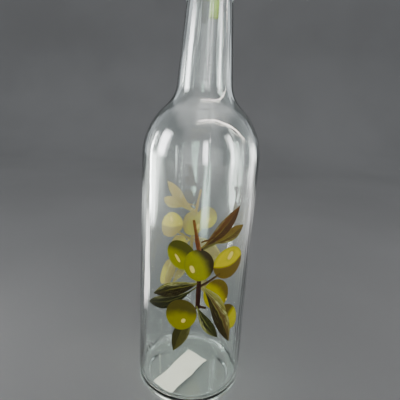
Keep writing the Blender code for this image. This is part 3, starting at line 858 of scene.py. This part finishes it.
def leaf_ink(name, ground):
    """Leaf colours: two halves of the blade, side veins, a rib, a light edge, strokes and a stalk.

    The mesh's place attribute gives t from base to tip, s from side to side, and the leaf's size.
    """
    material, nodes = new_material(name)
    blade, shade, light = (nodes.attribute(label, "Color") for label in ("blade", "shade", "rib"))
    t, s, size = nodes.axes(nodes.attribute("place", "Vector"))
    edge_side, edge_width, edge_strength = nodes.axes(nodes.attribute("edge", "Vector"))
    wander = nodes.times(nodes.minus(nodes.noise(nodes.place(), 260.0), 0.5), 0.35)
    aside = nodes.math("ADD", s, wander)
    away = nodes.math("ABSOLUTE", aside)
    colour = nodes.mix(nodes.ramp(aside, -0.10, 0.10), shade, blade)

    turns = nodes.times(t, nodes.times(size, LEAF_VEINS))
    veins = nodes.times(nodes.minus(turns, nodes.times(away, VEIN_SLANT)), 2 * math.pi)
    colour = nodes.mix(nodes.ramp(nodes.math("SINE", veins), 0.55, 1.0, 0.0, 0.16), colour, light)
    rib_width = nodes.math("MULTIPLY_ADD", t, -0.11, 0.16)
    rib = nodes.ramp(nodes.minus(1.0, nodes.math("DIVIDE", away, rib_width)), 0.0, 0.8)
    rib = nodes.times(rib, nodes.ramp(t, 0.35, 0.95, 0.62, 0.08))
    colour = nodes.mix(rib, colour, light)

    spread = {"X": nodes.times(t, 5.0), "Y": nodes.times(s, 6.0), "Z": nodes.times(size, 9.0)}
    along = nodes.add("ShaderNodeCombineXYZ", spread).outputs[0]
    strokes = nodes.noise(along, 1.6, detail=4.0, roughness=0.65)
    towards_edge = nodes.minus(nodes.times(aside, edge_side), nodes.minus(1.0, edge_width))
    lit_edge = nodes.times(nodes.ramp(towards_edge, -0.12, 0.06), edge_strength)
    lit_edge = nodes.times(lit_edge, nodes.ramp(t, 0.55, 1.0, 1.0, 0.2))
    lit_edge = nodes.times(lit_edge, nodes.ramp(strokes, 0.35, 0.60, 0.25, 1.0))
    colour = nodes.mix(nodes.ramp(strokes, 0.54, 0.76, 0.0, 0.50), colour, light)
    colour = nodes.mix(lit_edge, colour, light)
    pale = nodes.times(nodes.ramp(strokes, 0.48, 0.60, 0.0, 0.80), edge_strength)
    pale = nodes.times(pale, nodes.ramp(towards_edge, -0.38, 0.02, 0.03, 1.0))
    pale = nodes.times(pale, nodes.ramp(t, 0.50, 0.95, 1.0, 0.1))
    colour = nodes.mix(pale, colour, PALE_STROKE)
    colour = nodes.mix(nodes.ramp(t, 0.04, 0.16, 0.75, 0.0), colour, light)
    return finish_ink(material, nodes, colour, ground, 0.45)


def olive_ink(name, ground):
    """Olive colours: a light side, a dark side past a soft front, a lit rim and a cream gleam."""
    material, nodes = new_material(name)
    light, dark, rim = (nodes.attribute(label, "Color") for label in ("light", "dark", "rim"))
    outward = nodes.attribute("outward", "Fac")
    *gleam, shade = nodes.axes(nodes.attribute("gleam", "Vector"))
    wander = nodes.minus(nodes.noise(nodes.place(), 190.0, detail=3.0), 0.5)
    front = nodes.math("MULTIPLY_ADD", wander, 0.9, shade)
    colour = nodes.mix(nodes.ramp(front, -1.0, 1.0), light, dark)
    lit = nodes.times(nodes.ramp(outward, 0.80, 0.99), nodes.ramp(front, -2.0, -0.4, 0.7, 0.0))
    colour = nodes.mix(lit, colour, rim)
    spans = [nodes.math("POWER", nodes.math("ABSOLUTE", part), GLEAM_POWER) for part in gleam]
    span = nodes.math("MULTIPLY_ADD", wander, 0.8, nodes.math("ADD", *spans))
    colour = nodes.mix(nodes.ramp(span, 4.5, 0.8, 0.0, 0.30), colour, HALO_COLOUR)
    colour = nodes.mix(nodes.ramp(span, 1.15, 0.60), colour, GLEAM_COLOUR)
    return finish_ink(material, nodes, colour, ground, 0.16)


def twig_ink(name, ground):
    """Bark colours from one end of a twig to the other, with a lit side and dark flecks."""
    material, nodes = new_material(name)
    near, far, light = (nodes.attribute(label, "Color") for label in ("near", "far", "lit"))
    t, s, _ = nodes.axes(nodes.attribute("place", "Vector"))
    flecks = nodes.noise(nodes.place(), 700.0, detail=3.0)
    colour = nodes.mix(nodes.ramp(t, 0.15, 1.0), near, far)
    side = nodes.math("MULTIPLY_ADD", nodes.minus(flecks, 0.5), 1.4, s)
    colour = nodes.mix(nodes.ramp(side, -0.1, -0.9, 0.0, 0.55), colour, light)
    return finish_ink(material, nodes, colour, ground, 0.5)


leaf_coats = [leaf_ink("leaf_ink", 0.0), leaf_ink("leaf_ground", GROUND_SHARE)]
olive_coats = [olive_ink("olive_ink", 0.0), olive_ink("olive_ground", GROUND_SHARE)]
twig_coats = [twig_ink("twig_ink", 0.0), twig_ink("twig_ground", GROUND_SHARE)]
INKS = (("twigs", twig_motif, TWIGS, twig_coats), ("leaves", leaf_motif, LEAVES, leaf_coats),
        ("olives", olive_motif, OLIVES, olive_coats))
for where, print_turn in PRINTS.items():
    for kind, motif_of, rows_of_kind, coats in INKS:
        motifs = [motif_of(row) for row in rows_of_kind]
        make_print(f"{where}_{kind}", motifs, print_turn, "sprig_" + where, coats)


# --------------------------------------------
# The label. A blank white paper sticker in the hollow under the base, left a little wavy. It is
# drawn with a thin gap to the glass, and shows upwards through it.
LABEL_LENGTH = 0.0440
LABEL_FAR_WIDTH = 0.0182
LABEL_NEAR_WIDTH = 0.0164
LABEL_SKEW = 0.0006
LABEL_THICKNESS = 0.00008
LABEL_GAP = 0.00003
LABEL_SLACK = 0.00002
# each wave: its height, its radians a half length or half width, and its phase
LABEL_END_WAVE = (0.00020, 5, 0.7)
LABEL_EDGE_WAVE = (0.00030, 6.1, 0.8)
LABEL_EDGE_RIPPLE = (0.00015, 13, 0.0)
LABEL_CENTRE = (-0.0056, -0.0050)
LABEL_TURN = math.radians(55.3)
LABEL_ROWS = 49
LABEL_COLUMNS = 25
LABEL_WHITE = linear(255, 240, 228)
LABEL_YELLOWED = linear(246, 231, 217)
LABEL_FIBRES = linear(230, 224, 215)


def paper_material():
    """Matt white paper with a soft fibre mottle and slightly yellowed patches."""
    material, nodes = new_material("label_paper")
    place = nodes.place()
    fibre = nodes.noise(place, 1400.0, detail=4.0, roughness=0.65)
    patches = nodes.noise(place, 90.0)
    colour = nodes.mix(nodes.ramp(patches, 0.35, 0.70), LABEL_WHITE, LABEL_YELLOWED)
    colour = nodes.mix(nodes.ramp(fibre, 0.35, 0.75, 0.0, 0.35), colour, LABEL_FIBRES)
    nodes.surface({"Base Color": colour, "Roughness": 0.85, "Specular IOR Level": 0.2,
                   "Normal": nodes.bump(fibre, 0.35, 0.0001)})
    return material


def edge_wave(place, height, rate, phase):
    """A sine wave along an edge of the label."""
    return height * np.sin(rate * place + phase)


def make_label():
    """A sheet that follows the hollow under the base, with a top, an underside and a rim.

    Its edges waver as slow sine waves, and its underside sags a little in places.
    """
    t = np.linspace(-1, 1, LABEL_ROWS)[:, None]
    s = np.linspace(-1, 1, LABEL_COLUMNS)
    half_width = (LABEL_FAR_WIDTH + LABEL_NEAR_WIDTH + (LABEL_FAR_WIDTH - LABEL_NEAR_WIDTH) * t) / 4
    edge = edge_wave(t, *LABEL_EDGE_WAVE) + edge_wave(t, *LABEL_EDGE_RIPPLE)
    x = LABEL_LENGTH / 2 * t + LABEL_SKEW * s + edge_wave(s, *LABEL_END_WAVE) * t ** 4
    y = half_width * s + edge * s
    turn = np.array(((math.cos(LABEL_TURN), math.sin(LABEL_TURN)),
                     (-math.sin(LABEL_TURN), math.cos(LABEL_TURN))))
    flat = grid(x, y) @ turn + np.array(LABEL_CENTRE)
    glued = push_up(np.hypot(flat[..., 0], flat[..., 1]), np.arctan2(flat[..., 1], flat[..., 0]))
    slack = LABEL_SLACK * (1 + np.sin(7 * t + 2.0 * s)) * (1 - 0.5 * s ** 2)
    top = np.dstack((flat, glued - LABEL_GAP))
    under = np.dstack((flat, glued - LABEL_GAP - LABEL_THICKNESS - slack))
    points = np.vstack((top.reshape(-1, 3), under.reshape(-1, 3)))
    faces = np.vstack(slab_faces(LABEL_ROWS, LABEL_COLUMNS))
    make_piece("paper_label", points, faces, [paper_material()], "base_label", sharp=50)


make_label()


# --------------------------------------------
# The studio. A plain grey floor that sweeps up behind the bottle, lit softly from above and all round.
# The other lights show in reflections: tall ones at the sides and in front draw long highlights, a
# tube overhead draws the shoulder's arc, and large dim ones all round draw the glass's veils.
SWEEP_FRONT = -1.6
SWEEP_BACK = 0.85
SWEEP_RADIUS = 0.45
SWEEP_TOP = 2.2
SWEEP_HALF_WIDTH = 1.15
FLOOR_DROP = 0.0002
FLOOR_DARK = (0.160, 0.158, 0.157, 1)
FLOOR_LIGHT = (0.180, 0.178, 0.177, 1)
WORLD_COLOUR = (0.90, 0.95, 1.0, 1.0)
WORLD_STRENGTH = 0.80
SOFT_EDGE = 0.28
THROWN_SHARE = 0.50


def sweep_material():
    """Matt grey backdrop paper, faintly uneven in tone."""
    material, nodes = new_material("pale_backdrop")
    tone = nodes.noise(nodes.place(), 3.0, detail=3.0)
    colour = nodes.mix(nodes.ramp(tone, 0.3, 0.7), FLOOR_DARK, FLOOR_LIGHT)
    nodes.surface({"Base Color": colour, "Roughness": 0.75, "Specular IOR Level": 0.1})
    return material


def make_sweep():
    """The (y, z) outline of floor, quarter arc and wall, carried along X."""
    bend = arc((SWEEP_BACK, SWEEP_RADIUS), SWEEP_RADIUS, -90, 0, 24)
    outline = np.vstack(([(SWEEP_FRONT, 0.0)], bend, [(SWEEP_BACK + SWEEP_RADIUS, SWEEP_TOP)]))
    x = np.array((-SWEEP_HALF_WIDTH, SWEEP_HALF_WIDTH))
    points = grid(x, outline[:, :1], outline[:, 1:] - FLOOR_DROP)
    mesh = bpy.data.meshes.new("studio_sweep")
    faces = grid_faces(len(outline), 2, closed=False)[:, ::-1]
    mesh.from_pydata(points.reshape(-1, 3).tolist(), [], faces.tolist())
    mesh.shade_smooth()
    mesh.materials.append(sweep_material())
    sweep = new_object("studio_sweep", mesh)


BODY_MIDDLE = (0.0, 0.0, 0.17)
SHOULDER_MIDDLE = (0.0, 0.0, 0.19)
# place, width and height, radiance, colour; then target and direction of the height, if not the usual
TOP_LIGHT = ((0.1, -0.3, 1.5), (1.2, 1.2), 2.4, (1.0, 1.0, 1.0), BODY_MIDDLE, (1, 0, 0))
GLINTS = {
    "left_window": ((-0.295, 0.057, 0.165), (0.032, 0.30), 80, (0.97, 1.0, 0.98)),
    "left_panel": ((-0.330, -0.082, 0.27), (0.16, 0.26), 60, (0.97, 0.99, 1.0)),
    "left_mid": ((-0.299, 0.020, 0.105), (0.12, 0.17), 30, (0.95, 1.0, 0.96), (0, 0, 0.14)),
    "right_window": ((0.433, -0.250, 0.27), (0.08, 0.56), 40, (1.0, 1.0, 1.0)),
    "right_back": ((0.317, 0.148, 0.15), (0.13, 0.19), 7, (1.0, 0.99, 0.97)),
    "left_low": ((-0.118, 0.023, 0.055), (0.030, 0.12), 10, (1.0, 0.97, 0.95), (0, 0, 0.055)),
    "left_wall": ((-0.45, 0.0, 0.13), (0.45, 0.30), 3, (0.95, 1.0, 0.97)),
    "right_wall": ((0.45, -0.10, 0.20), (0.30, 0.40), 1.6, (1.0, 0.98, 0.96)),
    "front_window": ((0.117, -0.74, 0.345), (0.16, 0.62), 48, (1.0, 1.0, 1.0)),
    "front_low": ((0.08, -0.32, 0.09), (0.10, 0.20), 11, (0.76, 1.0, 0.88)),
    "front_wall": ((0.0, -1.3, 0.20), (2.8, 1.3), 1.8, (1.0, 1.0, 1.0)),
    "front_top": ((0.0, -1.25, 1.15), (1.2, 2.8), 1.5, (1.0, 1.0, 1.0), SHOULDER_MIDDLE, (1, 0, 0)),
    "ceiling": ((0.0, 0.0, 1.8), (3.4, 3.4), 2.2, (1.0, 1.0, 1.0), BODY_MIDDLE, (1, 0, 0)),
    "front_floor": ((0.0, -1.15, 0.002), (2.8, 1.7), 1.8, (1.0, 1.0, 1.0), (0.0, -1.15, 1.0), (0, 1, 0)),
    "right_floor": ((0.62, 0.05, 0.002), (1.0, 1.1), 1.2, (1.0, 0.98, 0.97), (0.62, 0.05, 1.0), (0, 1, 0)),
    "left_floor": ((-0.62, 0.05, 0.002), (1.0, 1.1), 1.2, (0.97, 1.0, 0.98), (-0.62, 0.05, 1.0), (0, 1, 0)),
    "left_rear": ((-0.52, 0.20, 0.20), (0.25, 0.40), 2.4, (0.95, 1.0, 0.97)),
    "right_rear": ((0.52, 0.22, 0.20), (0.25, 0.40), 2.0, (1.0, 1.0, 1.0)),
    "overhead_tube": ((0.42, -0.185, 0.83), (0.06, 1.69), 52, (1.0, 0.90, 0.80),
                      SHOULDER_MIDDLE, (1.56, 0.53, -0.36)),
}


def soften(light, lights_matt):
    """Makes a light fade out at its edges: the product of a ramp in from each side, across and along.

    A light that isn't meant for matt surfaces throws only a share of its light onto them by way of
    the glass.
    """
    light.use_nodes = True
    nodes = Nodes(light.node_tree)
    across, along, _ = nodes.axes(nodes.add("ShaderNodeNewGeometry").outputs["Parametric"])
    strength = 1.0
    if not lights_matt:
        thrown = nodes.add("ShaderNodeLightPath").outputs["Diffuse Depth"]
        strength = nodes.ramp(thrown, 0.0, 1.0, 1.0, THROWN_SHARE)
    for part in (across, along):
        inside = nodes.minus(0.5, nodes.math("ABSOLUTE", nodes.minus(part, 0.5)))
        strength = nodes.times(nodes.ramp(inside, 0.0, SOFT_EDGE), strength)
    nodes.give(light.node_tree.nodes["Emission"].inputs["Strength"], strength)


def make_light(name, lights_matt, place, size, radiance, colour, target=BODY_MIDDLE, upright=(0, 0, 1)):
    """A soft rectangular light that faces a target, with its height along a direction.

    Its power is pi times its area times its radiance. The camera never sees it directly.
    """
    light = bpy.data.lights.new(name, "AREA")
    light.shape = "RECTANGLE"
    light.size, light.size_y = size
    light.energy = math.pi * size[0] * size[1] * radiance
    light.color = colour
    soften(light, lights_matt)
    lamp = new_object(name, light)
    back = (Vector(place) - Vector(target)).normalized()
    side = Vector(upright).cross(back).normalized()
    turn = Matrix((side, back.cross(side), back)).transposed()
    lamp.matrix_world = Matrix.Translation(place) @ turn.to_4x4()
    lamp.visible_camera = False
    lamp.visible_diffuse = lights_matt


make_sweep()
make_light("top_light", True, *TOP_LIGHT)
for light_name, glint in GLINTS.items():
    make_light(light_name, False, *glint)
world = bpy.data.worlds.new("soft_world")
bpy.context.scene.world = world
world.use_nodes = True
background = world.node_tree.nodes["Background"].inputs
background["Color"].default_value = WORLD_COLOUR
background["Strength"].default_value = WORLD_STRENGTH


# The camera looks a little down on the bottle's middle and leans slightly, as a hand holds it.
CAMERA_PLACE = (0.0, -0.22385, 0.20173)
CAMERA_PITCH = math.radians(15.42)
CAMERA_ROLL = math.radians(3.10)
CAMERA_YAW = math.radians(1.22)
CAMERA_LENS = 30.63
CAMERA_SHIFT = (0.0219, -0.0066)
CAMERA_NEAREST = 0.01
camera_data = bpy.data.cameras.new("camera")
camera_data.lens = CAMERA_LENS
camera_data.shift_x, camera_data.shift_y = CAMERA_SHIFT
camera_data.clip_start = CAMERA_NEAREST
camera = new_object("camera", camera_data)
camera.matrix_world = (Matrix.Translation(CAMERA_PLACE)
                       @ Matrix.Rotation(CAMERA_YAW, 4, "Z")
                       @ Matrix.Rotation(math.pi / 2 - CAMERA_PITCH, 4, "X")
                       @ Matrix.Rotation(CAMERA_ROLL, 4, "Z"))
bpy.context.scene.camera = camera
